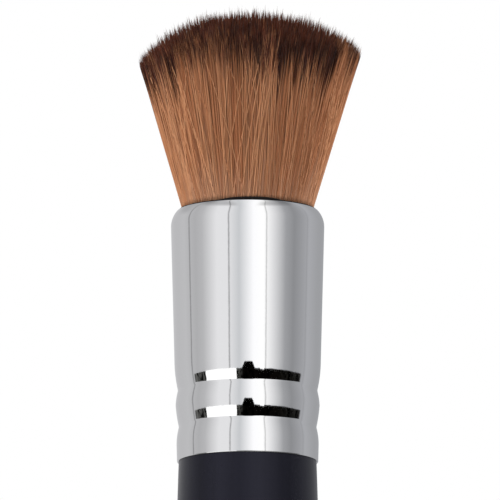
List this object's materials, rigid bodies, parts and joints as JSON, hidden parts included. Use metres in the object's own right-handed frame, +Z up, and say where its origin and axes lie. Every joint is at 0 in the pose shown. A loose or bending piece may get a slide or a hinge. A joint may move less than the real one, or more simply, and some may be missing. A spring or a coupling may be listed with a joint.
{
  "type": "kabuki makeup brush",
  "caption": "Kabuki makeup brush with a dense two-tone flared tuft, a crimped chrome ferrule and a stout satin black handle, standing on its flat base.",
  "frame": {"origin": "centre of the handle's flat base", "axes": "+Z up the brush's axis, from the handle's base to the bristles"},
  "size_m": [0.0315, 0.0315, 0.1438],
  "materials": {
    "bristle_fibre": "satin",
    "root_resin": "gloss",
    "binding_thread": "matte",
    "chromed_ferrule": "polished",
    "black_lacquered_wood": "satin",
    "tenon_adhesive": "gloss"
  },
  "bodies": {
    "root": {"bristles_outer": "bristle_fibre", "bristles_core": "bristle_fibre", "root_thread": "binding_thread", "root_plug": "root_resin", "ferrule": "chromed_ferrule", "handle": "black_lacquered_wood", "tenon_glue": "tenon_adhesive"}
  },
  "joints": []
}
